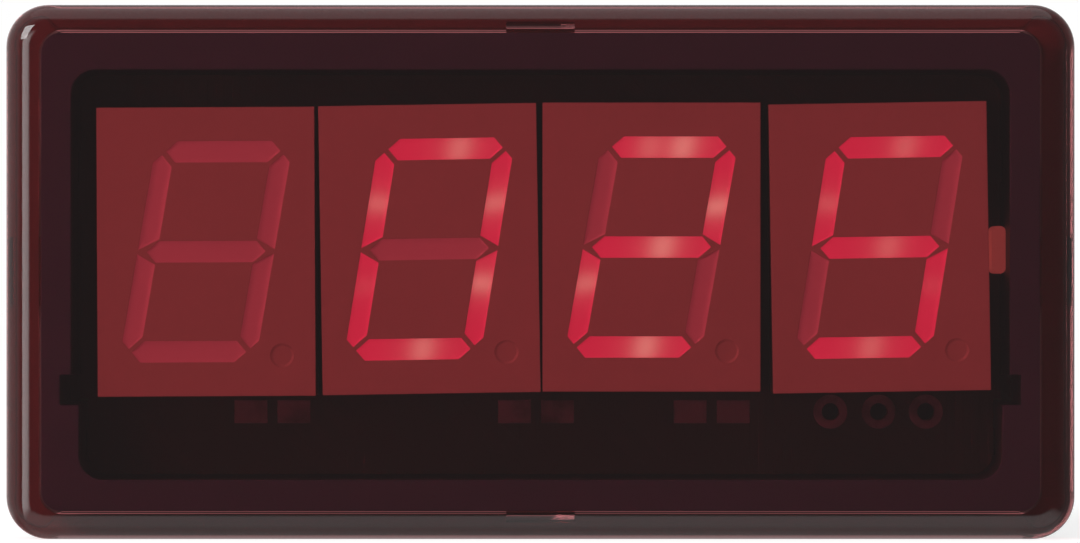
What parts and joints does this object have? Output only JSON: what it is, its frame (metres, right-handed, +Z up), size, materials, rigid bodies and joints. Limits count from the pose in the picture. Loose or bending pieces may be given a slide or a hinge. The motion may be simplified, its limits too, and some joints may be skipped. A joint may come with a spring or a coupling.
{
  "type": "digital panel meter",
  "caption": "Panel-mounted digital meter: rectangular tinted front cap over seven-segment digits, closed case, side spring latches and a plug-in screw terminal block.",
  "frame": {"origin": "middle of the panel cut-out, on the panel's front surface, where the seal's rear face lies", "axes": "-Y out of the display, +Y into the panel along the case, +X to the right as seen from the front, +Z up"},
  "size_m": [0.048, 0.0664, 0.024],
  "materials": {
    "red_window": "clear red tint, polished",
    "seal_rubber": "matt",
    "black_plastic": "fine moulded grain",
    "dark_board": "satin solder mask",
    "solder": "tinned",
    "capacitor_body": "ceramic",
    "digit_grey": "fine grain",
    "guide_resin": "translucent resin",
    "green_board": "satin solder mask",
    "gold_pins": "plated",
    "chip_resin": "moulded",
    "crystal_can": "drawn",
    "blue_sleeve": "shrunk sleeve",
    "ferrite": "sintered",
    "copper_wire": "enamelled",
    "small_parts": "ceramic",
    "green_plastic": "moulded",
    "contact_metal": "plated",
    "spring_steel": "rolled strip",
    "screw_steel": "zinc plated"
  },
  "bodies": {
    "meter": {"front_cap": "red_window", "panel_seal": "seal_rubber", "housing": "black_plastic", "rear_cover": "black_plastic", "display_board": "dark_board", "board_pads": "solder", "side_capacitor": "capacitor_body", "digit_1_block": "digit_grey", "digit_1_light_guides": "guide_resin", "digit_1_circuit": "green_board", "digit_1_pins": "solder", "digit_2_block": "digit_grey", "digit_2_light_guides": "guide_resin", "digit_2_circuit": "green_board", "digit_2_pins": "solder", "digit_3_block": "digit_grey", "digit_3_light_guides": "guide_resin", "digit_3_circuit": "green_board", "digit_3_pins": "solder", "digit_4_block": "digit_grey", "digit_4_light_guides": "guide_resin", "digit_4_circuit": "green_board", "digit_4_pins": "solder", "main_board": "green_board", "board_link_pins": "gold_pins", "processor": "chip_resin", "processor_leads": "solder", "converter_chip": "chip_resin", "converter_leads": "solder", "crystal": "crystal_can", "smoothing_capacitors": "blue_sleeve", "choke_core": "ferrite", "choke_winding": "copper_wire", "regulator": "chip_resin", "chip_parts": "small_parts", "terminal_socket": "green_plastic", "socket_pins": "solder"},
    "plug": {"plug_body": "green_plastic", "plug_contacts": "contact_metal"},
    "latch_left": {"latch_left": "spring_steel"},
    "latch_right": {"latch_right": "spring_steel"},
    "screw_1": {"terminal_screw_1": "screw_steel"},
    "clamp_1": {"wire_clamp_1": "contact_metal"},
    "screw_2": {"terminal_screw_2": "screw_steel"},
    "clamp_2": {"wire_clamp_2": "contact_metal"},
    "screw_3": {"terminal_screw_3": "screw_steel"},
    "clamp_3": {"wire_clamp_3": "contact_metal"},
    "screw_4": {"terminal_screw_4": "screw_steel"},
    "clamp_4": {"wire_clamp_4": "contact_metal"},
    "screw_5": {"terminal_screw_5": "screw_steel"},
    "clamp_5": {"wire_clamp_5": "contact_metal"},
    "screw_6": {"terminal_screw_6": "screw_steel"},
    "clamp_6": {"wire_clamp_6": "contact_metal"}
  },
  "joints": [
    {"name": "plug_slide", "type": "slide", "parent": "meter", "child": "plug", "axis": [0, 1, 0], "range_m": [0, 0.012]},
    {"name": "latch_left_flex", "type": "hinge", "parent": "meter", "child": "latch_left", "pos_m": [-0.02195, 0.0185, 0.0015], "axis": [0, 0, 1], "range_deg": [0, 3.9], "stiffness_Nm_per_rad": 0.6},
    {"name": "latch_right_flex", "type": "hinge", "parent": "meter", "child": "latch_right", "pos_m": [0.02195, 0.0185, 0.0015], "axis": [0, 0, -1], "range_deg": [0, 3.9], "stiffness_Nm_per_rad": 0.6},
    {"name": "screw_1_turn", "type": "hinge", "parent": "plug", "child": "screw_1", "pos_m": [-0.0127, 0.0519, 0], "axis": [0, 0, 1], "range_deg": [-2000, 0]},
    {"name": "clamp_1_rise", "type": "slide", "parent": "plug", "child": "clamp_1", "axis": [0, 0, 1], "range_m": [0, 0.0025]},
    {"name": "screw_2_turn", "type": "hinge", "parent": "plug", "child": "screw_2", "pos_m": [-0.00762, 0.0519, 0], "axis": [0, 0, 1], "range_deg": [-2000, 0]},
    {"name": "clamp_2_rise", "type": "slide", "parent": "plug", "child": "clamp_2", "axis": [0, 0, 1], "range_m": [0, 0.0025]},
    {"name": "screw_3_turn", "type": "hinge", "parent": "plug", "child": "screw_3", "pos_m": [-0.00254, 0.0519, 0], "axis": [0, 0, 1], "range_deg": [-2000, 0]},
    {"name": "clamp_3_rise", "type": "slide", "parent": "plug", "child": "clamp_3", "axis": [0, 0, 1], "range_m": [0, 0.0025]},
    {"name": "screw_4_turn", "type": "hinge", "parent": "plug", "child": "screw_4", "pos_m": [0.00254, 0.0519, 0], "axis": [0, 0, 1], "range_deg": [-2000, 0]},
    {"name": "clamp_4_rise", "type": "slide", "parent": "plug", "child": "clamp_4", "axis": [0, 0, 1], "range_m": [0, 0.0025]},
    {"name": "screw_5_turn", "type": "hinge", "parent": "plug", "child": "screw_5", "pos_m": [0.00762, 0.0519, 0], "axis": [0, 0, 1], "range_deg": [-2000, 0]},
    {"name": "clamp_5_rise", "type": "slide", "parent": "plug", "child": "clamp_5", "axis": [0, 0, 1], "range_m": [0, 0.0025]},
    {"name": "screw_6_turn", "type": "hinge", "parent": "plug", "child": "screw_6", "pos_m": [0.0127, 0.0519, 0], "axis": [0, 0, 1], "range_deg": [-2000, 0]},
    {"name": "clamp_6_rise", "type": "slide", "parent": "plug", "child": "clamp_6", "axis": [0, 0, 1], "range_m": [0, 0.0025]}
  ],
  "couplings": [
    {"joint": "screw_1_turn", "follows": "clamp_1_rise", "rad_per_m": -13963},
    {"joint": "screw_2_turn", "follows": "clamp_2_rise", "rad_per_m": -13963},
    {"joint": "screw_3_turn", "follows": "clamp_3_rise", "rad_per_m": -13963},
    {"joint": "screw_4_turn", "follows": "clamp_4_rise", "rad_per_m": -13963},
    {"joint": "screw_5_turn", "follows": "clamp_5_rise", "rad_per_m": -13963},
    {"joint": "screw_6_turn", "follows": "clamp_6_rise", "rad_per_m": -13963}
  ]
}
